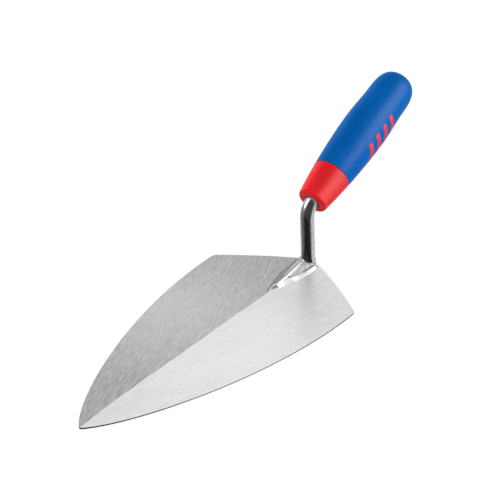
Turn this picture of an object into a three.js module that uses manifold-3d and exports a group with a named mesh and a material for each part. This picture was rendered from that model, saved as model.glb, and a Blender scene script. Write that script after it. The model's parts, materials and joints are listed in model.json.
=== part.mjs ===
// Brick trowel: a ground steel blade, a cranked steel shank welded to it, and a two-shot plastic handle
// driven onto the shank's tang.
//
// Millimetres, +Z up. The origin is on the blade's flat underside, on the centre line below the shank.
// +X runs to the blade's tip, +Y to one side.

import * as THREE from 'three';
import { mergeVertices } from 'three/addons/utils/BufferGeometryUtils.js';
import Module from 'manifold-3d';

const manifold = await Module();
manifold.setup();

// ---- Driving dimensions -----------------------------------------------------------------------

const GAP = 0.3; // clearance between two pieces that are welded, pressed or moulded together

// Blade: a pointed leaf with a swept, slightly bowed heel and two flat ground faces that meet in a ridge.
const HEEL_X = -6;
const BLADE_LENGTH = 279;
const BLADE_WIDTH = 140;
const HEEL_SWEEP = 42; // how far each heel corner lies ahead of the middle of the heel
const HEEL_BOW = 2; // how far the heel edge bulges back from straight
const CORNER_ROUND = 4;
const SIDE_RUN = 106; // how strongly the side keeps straight on from the corner
const SIDE_FLARE = 0.9; // how far that run still widens
const TIP_RUN = 37; // the same for the side's run into the tip
const TIP_HALF_ANGLE = THREE.MathUtils.degToRad(46);
const TIP_ROUND = 1.6;
const RIDGE_AT_HEEL = 2.8; // blade thickness along the middle
const RIDGE_AT_TIP = 1.3;
const FACE_FALL = 0.021; // thickness lost per millimetre away from the ridge

// Shank: a round bar that leans forward, then bends back into the handle.
const SHANK_RADIUS = 5.74;
const SHANK_LEAN = THREE.MathUtils.degToRad(4.65);
const BEND_RADIUS = 13;
const BAR_START = 3.2; // height where the bar ends inside the foot
const BAR_RUN = 8; // straight round bar between the bend and the tang
const TANG_WIDTH = 8; // square tang, across flats where it leaves the bar
const TANG_END_WIDTH = 4.5;
const TANG_LENGTH = 94;
const NOTCH_PAIRS = 4; // sawn across the tang, to hold the plastic
const NOTCH_PITCH = 12;
const NOTCH_DEPTH = 0.8;
const NOTCH_FROM_END = 14;

// Foot: the roof-shaped wedge at the bottom of the shank, and the ground weld around it.
const CREST_AT_SHANK = 8.25;
const CREST_FALL = 0.1155; // drop of the foot's crest per millimetre towards the tip
const FOOT_SLOPE = 0.5; // fall of the foot's flanks per millimetre sideways
const FOOT_HALF_WIDTH = 8;
const FOOT_BACK_X = -4.5;
const FOOT_CORNER_X = 2.5;
const FOOT_FRONT_X = 43;
const WELD_CREST = 5.8;
const WELD_FALL = 0.0586;
const WELD_SLOPE = 0.2;
const WELD_HALF_WIDTH = 11;
const WELD_BACK_X = -3;
const WELD_CORNER_X = 3.5;
const WELD_FRONT_X = 57;

// Handle: a tapered nose, a belly, a waist and a domed end, along an axis that rises towards the back.
const HANDLE_RISE = THREE.MathUtils.degToRad(25.86);
const NOSE_X = -2.1;
const NOSE_Z = 58.2;
const HANDLE_LENGTH = 140.1;
const NOSE_RADIUS = 12.9;
const NOSE_ROUND = 3.4; // length of the rounded edge between the nose's end face and its cone
const NOSE_FACE_RADIUS = 10.8; // of the flat end face
const CONE_RADIUS = 16.2; // the nose's taper aims at this radius, this far along
const CONE_AT = 25;
const BELLY_AT = 83;
const BELLY_RADIUS = 18.9;
const WAIST_AT = 115;
const WAIST_RADIUS = 17.55;
const CURVE_RUN = 26; // how far the profile stays level on the nose side of the belly
const WAIST_RUN = 11; // the same on both sides of the slope between the belly and the waist
const DOME_RUN = 17;
const DOME_RADIUS = 15; // where the end starts to close
const SLEEVE_START = 30.2;
const CORE_RADIUS = 13; // of the core inside the sleeve
const CORE_LENGTH = 125;
const MOUTH_RADIUS = 6.6; // of the hole that the bar enters
const MOUTH_DEPTH = 5;
const CORE_OVERLAP = 5; // how far the inner core runs into the nose
const MARK_COUNT = 4; // plain slanted bars of the core that show through the sleeve
const MARK_START = 62.5; // from the nose to the middle of the first bar
const MARK_PITCH = 10.6;
const MARK_WIDTH = 4.4;
const MARK_HEIGHT = 21;
const MARK_SLANT = -6; // the bars lean, and their lower ends lie this much nearer to the nose
const MARK_TURN = THREE.MathUtils.degToRad(12); // from the side of the tool towards its underside

// Blanks and cutters only have to be larger than the piece that is cut from them.
const BLANK_HEIGHT = 20;
const CUTTER_LENGTH = 900;
const CUTTER_WIDTH = 400;
const CUTTER_HEIGHT = 60;
const PAST = 1; // how far a cutter or a joined piece runs past the face that it meets

const TURNS = 48; // segments round a turned shape
const PROFILE_STEPS = 10; // points along each curve of a turned profile
const PLAN_STEPS = 16; // points along each curve of a flat outline
const BAR_TURNS = 12; // segments round each half of the shank's section
const BAR_STEPS = 36; // stations along the shank

// ---- Solids and booleans ----------------------------------------------------------------------

function toSolid(geometry) {
  const bare = geometry.clone();
  bare.deleteAttribute('normal');
  bare.deleteAttribute('uv');
  const merged = mergeVertices(bare, 1e-4);
  return new manifold.Manifold(new manifold.Mesh({
    numProp: 3,
    vertProperties: merged.attributes.position.array,
    triVerts: merged.index.array,
  }));
}

function toGeometry(solid) {
  const { vertProperties, triVerts } = solid.getMesh();
  const geometry = new THREE.BufferGeometry();
  geometry.setAttribute('position', new THREE.BufferAttribute(vertProperties, 3));
  geometry.setIndex(new THREE.BufferAttribute(triVerts, 1));
  geometry.computeVertexNormals();
  return geometry;
}

function extruded(shape, depth) {
  return new THREE.ExtrudeGeometry(shape, { depth, bevelEnabled: false, curveSegments: PLAN_STEPS });
}

// A profile in x (radius) and y, turned round +Y; it starts and ends on the axis.
function turned(path) {
  const points = path.getPoints(PROFILE_STEPS);
  points[0].x = 0;
  points[points.length - 1].x = 0;
  return new THREE.LatheGeometry(points, TURNS);
}

// Everything above the plane z = height - fallX * x - fallY * y, as a large tilted slab.
function aboveSlope(height, fallX, fallY) {
  const alongX = new THREE.Vector3(1, 0, -fallX).normalize();
  const up = new THREE.Vector3(fallX, fallY, 1).normalize();
  const alongY = up.clone().cross(alongX);
  const slab = new THREE.BoxGeometry(CUTTER_LENGTH, CUTTER_WIDTH, CUTTER_HEIGHT);
  slab.translate(0, 0, CUTTER_HEIGHT / 2);
  const place = new THREE.Matrix4().makeBasis(alongX, alongY, up).setPosition(0, 0, height);
  return toSolid(slab.applyMatrix4(place));
}

// A solid with its top cut to a roof whose crest runs along X.
function underRoof(solid, crestHeight, crestFall, sideFall) {
  return solid
    .subtract(aboveSlope(crestHeight, crestFall, sideFall))
    .subtract(aboveSlope(crestHeight, crestFall, -sideFall));
}

function piece(name, solid, material) {
  const mesh = new THREE.Mesh(toGeometry(solid), material);
  mesh.name = name;
  return mesh;
}

// ---- Blade ------------------------------------------------------------------------------------

const RIDGE_FALL = (RIDGE_AT_HEEL - RIDGE_AT_TIP) / BLADE_LENGTH;
const RIDGE_AT_ORIGIN = RIDGE_AT_HEEL + HEEL_X * RIDGE_FALL;

// One half of the outline, from the middle of the heel to the tip; side is +1 or -1.
function halfOutline(side) {
  const half = BLADE_WIDTH / 2;
  const corner = new THREE.Vector2(HEEL_X + HEEL_SWEEP, half);
  const tip = HEEL_X + BLADE_LENGTH;
  const heelLine = Math.atan2(half, HEEL_SWEEP);
  const outline = new THREE.Path();
  const at = (x, y) => [x, side * y];
  outline.moveTo(HEEL_X, 0);
  outline.quadraticCurveTo(
    ...at(HEEL_X + HEEL_SWEEP / 2 - 2 * HEEL_BOW, half / 2),
    ...at(corner.x - CORNER_ROUND * Math.cos(heelLine), corner.y - CORNER_ROUND * Math.sin(heelLine)),
  );
  outline.quadraticCurveTo(...at(corner.x, corner.y), ...at(corner.x + CORNER_ROUND, corner.y));
  outline.bezierCurveTo(
    ...at(corner.x + SIDE_RUN, corner.y + SIDE_FLARE),
    ...at(tip - TIP_RUN * Math.cos(TIP_HALF_ANGLE), TIP_RUN * Math.sin(TIP_HALF_ANGLE)),
    ...at(tip - TIP_ROUND / 2, TIP_ROUND),
  );
  outline.quadraticCurveTo(...at(tip, TIP_ROUND / 2), ...at(tip, 0));
  return outline.getPoints(PLAN_STEPS);
}

function bladeSolid() {
  const right = halfOutline(1);
  const left = halfOutline(-1).reverse().slice(1, -1);
  const blank = toSolid(extruded(new THREE.Shape([...right, ...left]), BLANK_HEIGHT));
  return underRoof(blank, RIDGE_AT_ORIGIN, RIDGE_FALL, FACE_FALL);
}

// A solid that stands on the blade, cut to clear the blade's ground faces.
function clearOfBlade(solid) {
  const ground = toSolid(new THREE.BoxGeometry(CUTTER_LENGTH, CUTTER_WIDTH, 2 * BLANK_HEIGHT));
  return solid.subtract(underRoof(ground, RIDGE_AT_ORIGIN + GAP, RIDGE_FALL, FACE_FALL));
}

// ---- Shank, foot and weld ---------------------------------------------------------------------

const HANDLE_AXIS = new THREE.Vector3(-Math.cos(HANDLE_RISE), 0, Math.sin(HANDLE_RISE));
const SHANK_AXIS = new THREE.Vector3(Math.sin(SHANK_LEAN), 0, Math.cos(SHANK_LEAN));
const NOSE = new THREE.Vector3(NOSE_X, 0, NOSE_Z);

// Where the shank's axis, which starts at the origin, crosses the handle's axis.
function crankPoint() {
  const determinant = SHANK_AXIS.x * -HANDLE_AXIS.z + SHANK_AXIS.z * HANDLE_AXIS.x;
  const distance = (NOSE_X * -HANDLE_AXIS.z + NOSE_Z * HANDLE_AXIS.x) / determinant;
  return SHANK_AXIS.clone().multiplyScalar(distance);
}

const CRANK = crankPoint();
const BEND_SETBACK = BEND_RADIUS * Math.tan(SHANK_AXIS.angleTo(HANDLE_AXIS) / 2);
const BEND_START = CRANK.clone().addScaledVector(SHANK_AXIS, -BEND_SETBACK);
const BEND_END = CRANK.clone().addScaledVector(HANDLE_AXIS, BEND_SETBACK);

// The bend's centre line, an arc in the XZ plane that is tangent to both straight axes.
class Bend extends THREE.Curve {
  getPoint(t, target = new THREE.Vector3()) {
    const inward = new THREE.Vector3(-SHANK_AXIS.z, 0, SHANK_AXIS.x);
    const angle = t * SHANK_AXIS.angleTo(HANDLE_AXIS);
    return target.copy(BEND_START)
      .addScaledVector(inward, BEND_RADIUS * (1 - Math.cos(angle)))
      .addScaledVector(SHANK_AXIS, BEND_RADIUS * Math.sin(angle));
  }
}

// The round bar, from inside the foot to where the tang begins; extra widens it for a clearance.
function barGeometry(extra) {
  const path = new THREE.CurvePath();
  path.add(new THREE.LineCurve3(SHANK_AXIS.clone().multiplyScalar(BAR_START), BEND_START));
  path.add(new Bend());
  path.add(new THREE.LineCurve3(BEND_END, BEND_END.clone().addScaledVector(HANDLE_AXIS, BAR_RUN + extra)));
  const section = new THREE.Shape().absarc(0, 0, SHANK_RADIUS + extra, 0, 2 * Math.PI);
  const sweep = { extrudePath: path, steps: BAR_STEPS, curveSegments: BAR_TURNS };
  return new THREE.ExtrudeGeometry(section, sweep);
}

// The handle's own frame, at a distance inside its mouth: +Y is its axis and +Z the side of the tool.
function handleFrame(distance) {
  const side = new THREE.Vector3(0, 1, 0);
  const under = HANDLE_AXIS.clone().cross(side);
  const start = NOSE.clone().addScaledVector(HANDLE_AXIS, distance);
  return new THREE.Matrix4().makeBasis(under, HANDLE_AXIS, side).setPosition(start);
}

const TANG_START = BEND_END.distanceTo(NOSE); // distance inside the handle's mouth

// The tapered square tang along +Y; extra makes it larger for its hole.
function tangGeometry(extra) {
  const corner = (width) => (width + 2 * extra) / Math.SQRT2;
  const length = TANG_LENGTH + extra;
  const taper = new THREE.CylinderGeometry(corner(TANG_END_WIDTH), corner(TANG_WIDTH), length, 4);
  return taper.rotateY(Math.PI / 4).translate(0, length / 2, 0);
}

// The tang in place, with V notches across its upper and lower sides.
function tangSolid() {
  let tang = toSolid(tangGeometry(0).applyMatrix4(handleFrame(TANG_START)));
  for (let i = 0; i < NOTCH_PAIRS; i += 1) {
    const along = TANG_LENGTH - NOTCH_FROM_END - i * NOTCH_PITCH;
    const halfWidth = THREE.MathUtils.lerp(TANG_WIDTH, TANG_END_WIDTH, along / TANG_LENGTH) / 2;
    for (const side of [-1, 1]) {
      const cutter = new THREE.BoxGeometry(TANG_WIDTH, TANG_WIDTH, 2 * TANG_WIDTH).rotateZ(Math.PI / 4);
      cutter.translate(side * (halfWidth - NOTCH_DEPTH + TANG_WIDTH / Math.SQRT2), along, 0);
      tang = tang.subtract(toSolid(cutter.applyMatrix4(handleFrame(TANG_START))));
    }
  }
  return tang;
}

// The kite that the foot covers, drawn larger all round by extra.
function footPlan(extra) {
  const frontExtra = (extra * (FOOT_FRONT_X - FOOT_CORNER_X)) / FOOT_HALF_WIDTH;
  const plan = new THREE.Shape();
  plan.moveTo(FOOT_BACK_X - 2 * extra, 0);
  plan.lineTo(FOOT_CORNER_X - extra, -FOOT_HALF_WIDTH - extra);
  plan.lineTo(FOOT_FRONT_X + frontExtra, 0);
  plan.lineTo(FOOT_CORNER_X - extra, FOOT_HALF_WIDTH + extra);
  return plan;
}

function footSolid() {
  const plan = footPlan(0);
  return underRoof(toSolid(extruded(plan, BLANK_HEIGHT)), CREST_AT_SHANK, CREST_FALL, FOOT_SLOPE);
}

function shankSolid() {
  return clearOfBlade(footSolid().add(toSolid(barGeometry(0)))).add(tangSolid());
}

// The ground weld: an ogive skirt round the foot, open in the middle where the foot stands.
function weldSolid() {
  const plan = new THREE.Shape();
  plan.moveTo(WELD_BACK_X, 0);
  plan.lineTo(WELD_CORNER_X, -WELD_HALF_WIDTH);
  plan.quadraticCurveTo(WELD_FRONT_X / 2, -WELD_HALF_WIDTH, WELD_FRONT_X, 0);
  plan.quadraticCurveTo(WELD_FRONT_X / 2, WELD_HALF_WIDTH, WELD_CORNER_X, WELD_HALF_WIDTH);
  const skirt = underRoof(toSolid(extruded(plan, BLANK_HEIGHT)), WELD_CREST, WELD_FALL, WELD_SLOPE);
  const opening = footPlan(GAP);
  return clearOfBlade(skirt.subtract(toSolid(extruded(opening, BLANK_HEIGHT))));
}

// ---- Handle -----------------------------------------------------------------------------------

// Half profile of the whole handle: x is the radius and y the distance from the nose.
function handleProfile() {
  const profile = new THREE.Path();
  profile.moveTo(0, 0);
  profile.lineTo(NOSE_FACE_RADIUS, 0);
  profile.quadraticCurveTo(NOSE_RADIUS, 0, NOSE_RADIUS, NOSE_ROUND);
  profile.bezierCurveTo(CONE_RADIUS, CONE_AT, BELLY_RADIUS, BELLY_AT - CURVE_RUN, BELLY_RADIUS, BELLY_AT);
  profile.bezierCurveTo(
    BELLY_RADIUS, BELLY_AT + WAIST_RUN, WAIST_RADIUS, WAIST_AT - WAIST_RUN, WAIST_RADIUS, WAIST_AT,
  );
  profile.bezierCurveTo(WAIST_RADIUS, WAIST_AT + DOME_RUN, DOME_RADIUS, HANDLE_LENGTH, 0, HANDLE_LENGTH);
  return profile;
}

// A plain cylinder along +Y between two distances from the nose.
function plug(radius, from, to) {
  const cylinder = new THREE.CylinderGeometry(radius, radius, to - from, TURNS);
  return toSolid(cylinder.translate(0, (from + to) / 2, 0));
}

// The slanted bars, as prisms that run out through the side of the handle.
function markSolids(extra) {
  const halfWidth = MARK_WIDTH / 2 + extra;
  const halfHeight = MARK_HEIGHT / 2 + extra;
  const slant = MARK_SLANT / 2;
  const bar = new THREE.Shape();
  bar.moveTo(-halfHeight, -halfWidth - slant);
  bar.lineTo(halfHeight, -halfWidth + slant);
  bar.lineTo(halfHeight, halfWidth + slant);
  bar.lineTo(-halfHeight, halfWidth - slant);
  const bars = [];
  for (let i = 0; i < MARK_COUNT; i += 1) {
    const prism = extruded(bar, 2 * BELLY_RADIUS).translate(0, MARK_START + i * MARK_PITCH, 0);
    bars.push(toSolid(prism.rotateY(MARK_TURN)));
  }
  return bars;
}

function coreSolid() {
  const body = toSolid(turned(handleProfile()));
  const nose = body.intersect(plug(2 * BELLY_RADIUS, -PAST, SLEEVE_START - GAP));
  let core = nose.add(plug(CORE_RADIUS, SLEEVE_START - CORE_OVERLAP, CORE_LENGTH));
  const outsideCore = body.subtract(plug(CORE_RADIUS - PAST, -PAST, CORE_LENGTH));
  for (const bar of markSolids(0)) {
    core = core.add(bar.intersect(outsideCore));
  }
  const bar = toSolid(barGeometry(GAP).applyMatrix4(handleFrame(0).invert()));
  const tang = toSolid(tangGeometry(GAP).translate(0, TANG_START, 0));
  return core
    .subtract(plug(MOUTH_RADIUS, -PAST, MOUTH_DEPTH))
    .subtract(bar)
    .subtract(tang);
}

function sleeveSolid() {
  let sleeve = toSolid(turned(handleProfile()))
    .subtract(plug(2 * BELLY_RADIUS, -PAST, SLEEVE_START))
    .subtract(plug(CORE_RADIUS + GAP, 0, CORE_LENGTH + GAP));
  for (const window of markSolids(GAP)) {
    sleeve = sleeve.subtract(window);
  }
  return sleeve;
}

// ---- Assembly ---------------------------------------------------------------------------------

const groundSteel = new THREE.MeshStandardMaterial({ color: 0xc9c9cc, roughness: 0.35, metalness: 1 });
const forgedSteel = new THREE.MeshStandardMaterial({ color: 0x8c918e, roughness: 0.25, metalness: 1 });
const weldSteel = new THREE.MeshStandardMaterial({ color: 0xd6d8d4, roughness: 0.3, metalness: 1 });
const redPlastic = new THREE.MeshStandardMaterial({ color: 0xd8202e, roughness: 0.35, metalness: 0 });
const blueRubber = new THREE.MeshStandardMaterial({ color: 0x0c56a8, roughness: 0.6, metalness: 0 });

const handle = new THREE.Group();
handle.applyMatrix4(handleFrame(0));
handle.add(piece('handle_core', coreSolid(), redPlastic));
handle.add(piece('grip_sleeve', sleeveSolid(), blueRubber));

const trowel = new THREE.Group();
trowel.add(piece('blade', bladeSolid(), groundSteel));
trowel.add(piece('shank', shankSolid(), forgedSteel));
trowel.add(piece('foot_weld', weldSolid(), weldSteel));
trowel.add(handle);

export default trowel;
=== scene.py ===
"""A brick trowel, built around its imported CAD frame: visual meshes, materials, light and camera.

Metres, +Z up, +X to the blade's tip, +Y to the side that faces the camera. Lengths that describe the
shapes are written in millimetres and multiplied by MM.
"""

import json
import math

import bmesh
import bpy
from mathutils import Matrix, Vector


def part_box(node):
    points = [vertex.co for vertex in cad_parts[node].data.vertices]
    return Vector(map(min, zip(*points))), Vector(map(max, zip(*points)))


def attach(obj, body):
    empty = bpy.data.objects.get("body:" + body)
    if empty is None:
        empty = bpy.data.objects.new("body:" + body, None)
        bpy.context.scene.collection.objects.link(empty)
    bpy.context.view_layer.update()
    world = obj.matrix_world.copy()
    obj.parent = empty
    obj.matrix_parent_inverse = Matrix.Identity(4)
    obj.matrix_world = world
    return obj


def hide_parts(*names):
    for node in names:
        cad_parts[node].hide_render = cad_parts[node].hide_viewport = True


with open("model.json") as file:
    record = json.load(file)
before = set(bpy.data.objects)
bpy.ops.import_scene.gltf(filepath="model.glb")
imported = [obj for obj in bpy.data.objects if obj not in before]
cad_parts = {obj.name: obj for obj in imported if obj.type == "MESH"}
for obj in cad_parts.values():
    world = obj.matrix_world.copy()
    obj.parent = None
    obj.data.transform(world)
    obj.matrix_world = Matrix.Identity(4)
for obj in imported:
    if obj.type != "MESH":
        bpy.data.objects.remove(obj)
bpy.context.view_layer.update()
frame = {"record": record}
MM = 0.001
UP = Vector((0, 0, 1))
SIDE = Vector((0, 1, 0))

# ---- Places and sizes from the frame ------------------------------------------------------------

BLADE_LOW, BLADE_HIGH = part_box("blade")
SLEEVE_LOW, SLEEVE_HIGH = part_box("grip_sleeve")
SHANK_START = Vector(frame["record"]["mounts"][0]["pos_m"])
HEEL_X = BLADE_LOW.x
TIP_X = BLADE_HIGH.x
BLADE_LENGTH = TIP_X - HEEL_X
HALF_WIDTH = BLADE_HIGH.y
RIDGE_AT_HEEL = BLADE_HIGH.z

# ---- Shapes -------------------------------------------------------------------------------------

# Blade
HEEL_SWEEP = 42 * MM
HEEL_BOW = 2 * MM
CORNER_ROUND = 4 * MM
SIDE_RUN = 106 * MM
SIDE_FLARE = 0.9 * MM
TIP_RUN = 37 * MM
TIP_HALF_ANGLE = math.radians(46)
TIP_ROUND = 1.6 * MM
RIDGE_AT_TIP = 1.3 * MM
FACE_FALL = 0.021
EDGE_BREAK = 0.12 * MM
HEEL_STEPS = 36
SIDE_STEPS = 190
# Where the hand-ground ridge really runs: share of the blade's length, and how far it strays sideways.
RIDGE_STRAY = [(0.0, 0.4), (0.24, 0.9), (0.42, 0.1), (0.6, -0.4), (0.76, -1.2), (0.88, -1.3), (1.0, 0.0)]
RIDGE_WAVE = 0.22 * MM
RIDGE_WAVE_LENGTH = 27 * MM

# Shank and tang
SHANK_RADIUS = 5.74 * MM
SHANK_LEAN = math.radians(4.65)
BAR_START = 3.2 * MM
BEND_RADIUS = 13 * MM
BAR_RUN = 8 * MM  # straight round bar between the bend and the tang
TANG_HALF_WIDTH = 4 * MM
TANG_END_HALF_WIDTH = 2.25 * MM
TANG_LENGTH = 86 * MM
TANG_BLEND = 6 * MM
NOTCH_PAIRS = 4
NOTCH_PITCH = 12 * MM
NOTCH_DEPTH = 0.8 * MM
NOTCH_FROM_END = 14 * MM
ROUND_POWER = 2  # of the superellipse that is the tang's section
SQUARE_POWER = 10
BAR_TURNS = 96  # segments round the bar and the tang
FOOT_RINGS = 50
FOOT_RING_STEP = 0.2 * MM
BAR_RINGS = 24  # along the straight shank, and again round the bend
TANG_RINGS = 120

# Foot of the shank: a wedge whose crest falls towards the tip. Plan points are (x, y). The near side is +Y.
CREST_AT_SHANK = 8.25 * MM
CREST_FALL = 0.1155
FOOT_BACK = Vector((-4.5, 0)) * MM
FOOT_CORNER = Vector((1.6, 7.4)) * MM
FOOT_SHOULDER = Vector((14.8, 6.4)) * MM
FOOT_FRONT = Vector((30, 3.1)) * MM
FOOT_NOSE = Vector((43, 0.8)) * MM  # where the weld's crest turns down to the blade
FAR_FOOT_CORNER = Vector((1.6, -8.8)) * MM
FAR_FOOT_NOSE = Vector((43, -1.8)) * MM
EDGE_HEIGHT = 3.65 * MM  # of the foot's lower edges
FACET_BACK = Vector((0, 0.6)) * MM  # near edge of the flat along the crest
FACET_FRONT = Vector((30, 2.4)) * MM
FAR_FACET_BACK = Vector((0, -2.1)) * MM
FAR_FACET_NOSE = Vector((43, -0.7)) * MM
FACET_SLOPE = 0.1
LEAST_FLANK = 0.5 * MM  # width of a flank where the flat reaches the foot's edge
PAST_EDGE = 1.5  # how far a flank's slope goes on, as a share of the flank
FILLET = 0.6 * MM
FAR_FILLET = 2.4 * MM  # on the far side of the shank
FOOT_BOTTOM = RIDGE_AT_HEEL - 0.1 * MM  # in the metal of the weld
FOOT_EDGE_BREAK = 0.05 * MM

# Weld: the ground skirt round the foot
WELD_BACK = Vector((-5.5, 0)) * MM
WELD_CORNER = Vector((2.6, 11.1)) * MM
WELD_PULL = Vector((30, 12.2)) * MM
WELD_FRONT = Vector((57, 0.35)) * MM
FAR_WELD_CORNER = Vector((2.6, -10.6)) * MM
FAR_WELD_PULL = Vector((30, -10)) * MM
FAR_WELD_FRONT = Vector((WELD_FRONT.x, -WELD_FRONT.y))
BURR = 1.1 * MM  # width of the dark burr along the weld's far edge
BACK_BURR = 1.8 * MM  # height of the dark part of its back edge
WELD_BACK_SLOPE = 1.3
UNDERCUT = 0.35 * MM  # depth of the groove between weld and foot
UNDERCUT_WIDTH = 1 * MM
EMBED = 0.25 * MM  # how deep the weld runs into the blade
EDGE_SINK = 0.03 * MM  # how far its outer edge lies below the blade's face
WELD_EDGE_BREAK = 0.02 * MM
# Corners of the unground hollow at the weld's nose
HOLLOW = [Vector(p) * MM for p in ((44.2, -0.3), (45.6, 3.4), (48.7, 4.2), (53, 1.4), (48.3, -0.5))]
HOLLOW_DEPTH = 0.25 * MM
HOLLOW_SLOPE = 0.4 * MM  # width of the slope round its floor
HOLLOW_RIM = 0.1 * MM  # width of the bright rim of that slope

# Lines of painted shade along the grooves and edges of foot and weld, as (start, end, half width)
JOINT_LINES = [(FOOT_CORNER, FOOT_SHOULDER, 0.5 * MM)]
FAR_JOINT_LINES = [(FAR_FOOT_CORNER, FAR_FOOT_NOSE, 1.5 * MM)]
FLAT_LINES = [(FAR_FACET_BACK, FAR_FACET_NOSE, 0.9 * MM)]

# Handle
HANDLE_RISE = math.radians(25.86)
HANDLE_LENGTH = 140.1 * MM
NOSE_RADIUS = 12.9 * MM
NOSE_ROUND = 3.4 * MM
NOSE_FACE_RADIUS = 10.8 * MM
CONE_POINT = Vector((16.2, 25)) * MM
BELLY = Vector((18.9, 83)) * MM
WAIST = Vector((17.55, 115)) * MM
BELLY_RUN = 26 * MM
WAIST_RUN = 11 * MM
DOME_RUN = 17 * MM
DOME_RADIUS = 15 * MM
SLEEVE_START = 30.2 * MM
SEAM = 0.35 * MM
CORE_RADIUS = 13 * MM
CORE_LENGTH = 125 * MM
MOUTH_RADIUS = 6.5 * MM
MOUTH_DEPTH = 5 * MM
MOUTH_ROUND = 0.4 * MM
MOUTH_STEPS = 6
BORE_RADIUS = 6 * MM
BORE_SPARE = 1 * MM  # room past the tang's end
MOULD_GAP = 0.1 * MM
MARK_COUNT = 4
MARK_START = 62.5 * MM  # from the nose to the middle of the first bar
MARK_PITCH = 10.6 * MM
MARK_WIDTH = 4.4 * MM
MARK_HEIGHT = 21 * MM
MARK_SLANT = 6 * MM  # how much nearer to the nose a bar's lower end lies
MARK_TURN = math.radians(12)  # from the side of the tool towards its underside
MARK_PROUD = 0.06 * MM
MARK_GAP = 0.08 * MM  # between a bar and its window in the sleeve
MARK_ROOT = CORE_RADIUS - 1 * MM  # radius where a bar starts, inside the core
WINDOW_PROUD = 1 * MM  # how far a window's cutter stands above the sleeve
MARK_STEPS = 14
TURNS = 144  # segments round the handle

MERGE_DISTANCE = 0.001 * MM
ON_AXIS = 0.01 * MM  # a smaller radius is a point on the handle's axis

# ---- Looks --------------------------------------------------------------------------------------

# Ground steel: its textures' cells in mm, along the scratches, across them and up
FINE_SCRATCHES = (9, 0.6, 0.6)
COARSE_SCRATCHES = (30, 1.6, 1.6)
LONE_SCRATCHES = (15, 0.6, 1)
GROUND_PATCHES = (50, 16, 20)
COARSE_TURN = 0.06  # from the fine scratches, in radians
LONE_TURN = -0.14
# Patches of painted highlight on the blade's faces: centre, radius and strength
LEFT_PAINTED_SHEEN = (Vector((120, -45)) * MM, 120 * MM, 0.5)
RIGHT_PAINTED_SHEEN = (Vector((140, 35)) * MM, 110 * MM, 0.2)
BLUE_TINT = (1.0, 0.995, 1.03)

# Forged steel: its textures' cells in mm, and its colours
DENTS = (5, 5, 7)
STAINS = (1.6, 1.6, 2.6)
HAIRS = (0.5, 0.5, 8)
CLEAN_TINT = (0.97, 1.0, 0.975)
DULL_TINT = (0.96, 1.0, 0.94)
PAINTED_SHADE_LEVEL = 0.16  # brightness of the painted shade along grooves and edges

# Plastics: their textures' cells in mm, and their colours
SKIN = (0.45, 0.45, 0.45)
DRIFT = (26, 20, 20)
SCUFFS = (14, 0.6, 0.6)
RED = (0.7, 0.01, 0.015, 1)
DEEP_RED = (0.64, 0.008, 0.012, 1)
BLUE = (0, 0.11, 0.415, 1)
DEEP_BLUE = (0, 0.099, 0.38, 1)
MIRRORED_SHARE = 0.75  # of their colour that turns grey where reflections show them
MIRRORED_LEVEL = 0.8

# Camera
VIEW_AZIMUTH = math.radians(127.117)
VIEW_ELEVATION = math.radians(31.213)
VIEW_ROLL = math.radians(0.37)
VIEW_DISTANCE = 1.202
VIEW_TARGET = Vector((36.9, -31.9, 20)) * MM
LENS = 107.67
CAMERA_SIDE = Vector((math.sin(VIEW_AZIMUTH), -math.cos(VIEW_AZIMUTH), 0))
CAMERA_RIGHT = Vector((math.cos(VIEW_AZIMUTH), math.sin(VIEW_AZIMUTH), 0))

# Light: the softboxes, the light from all round, and the brightness of the room that reflections see
SOFTBOX_DISTANCE = 1.5
KEY_DIRECTION = (-0.2, 0.84, 0.5)
FILL_LIGHT = 0.6
ROOM_FRONT = 0.07
ROOM_LEFT = 0.3
ROOM_RIGHT = 0.85
ROOM_BEHIND = 0.8
ROOM_WALL = 0.84
ROOM_TOP = 0.95

# Floor
FLOOR_HALF = 6.0
FLOOR_DROP = 0.05 * MM  # below the blade
FLOOR_LEVEL = 0.2
FLOOR_GLOW = 0.9


# ---- Mesh helpers -------------------------------------------------------------------------------


def bezier(points, t):
    """A point on a Bezier curve of any degree."""
    while len(points) > 1:
        points = [a.lerp(b, t) for a, b in zip(points, points[1:])]
    return points[0]


def curve_points(points, steps):
    return [bezier(points, i / steps) for i in range(steps + 1)]


def smooth_step(low, high, value):
    t = min(1.0, max(0.0, (value - low) / (high - low)))
    return t * t * (3 - 2 * t)


def spline(knots, at):
    """A smooth curve through (position, value) knots, level at each knot."""
    for (x0, y0), (x1, y1) in zip(knots, knots[1:]):
        if at <= x1:
            return y0 + (y1 - y0) * smooth_step(x0, x1, at)
    return knots[-1][1]


def resample(points, count):
    """The same polyline with count + 1 evenly spaced points."""
    lengths = [0.0]
    for a, b in zip(points, points[1:]):
        lengths.append(lengths[-1] + (b - a).length)
    result = []
    span = 0
    for i in range(count + 1):
        wanted = lengths[-1] * i / count
        while span < len(points) - 2 and lengths[span + 1] < wanted:
            span += 1
        step = lengths[span + 1] - lengths[span]
        result.append(points[span].lerp(points[span + 1], (wanted - lengths[span]) / step))
    return result


def strip(rows, closed=False):
    """Faces between consecutive rows of point numbers; a row's repeated point makes a triangle."""
    faces = []
    for low, high in zip(rows, rows[1:]):
        count = len(low)
        for i in range(count if closed else count - 1):
            j = (i + 1) % count
            corners = tuple(dict.fromkeys((low[i], low[j], high[j], high[i])))
            if len(corners) > 2:
                faces.append(corners)
    return faces


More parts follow.
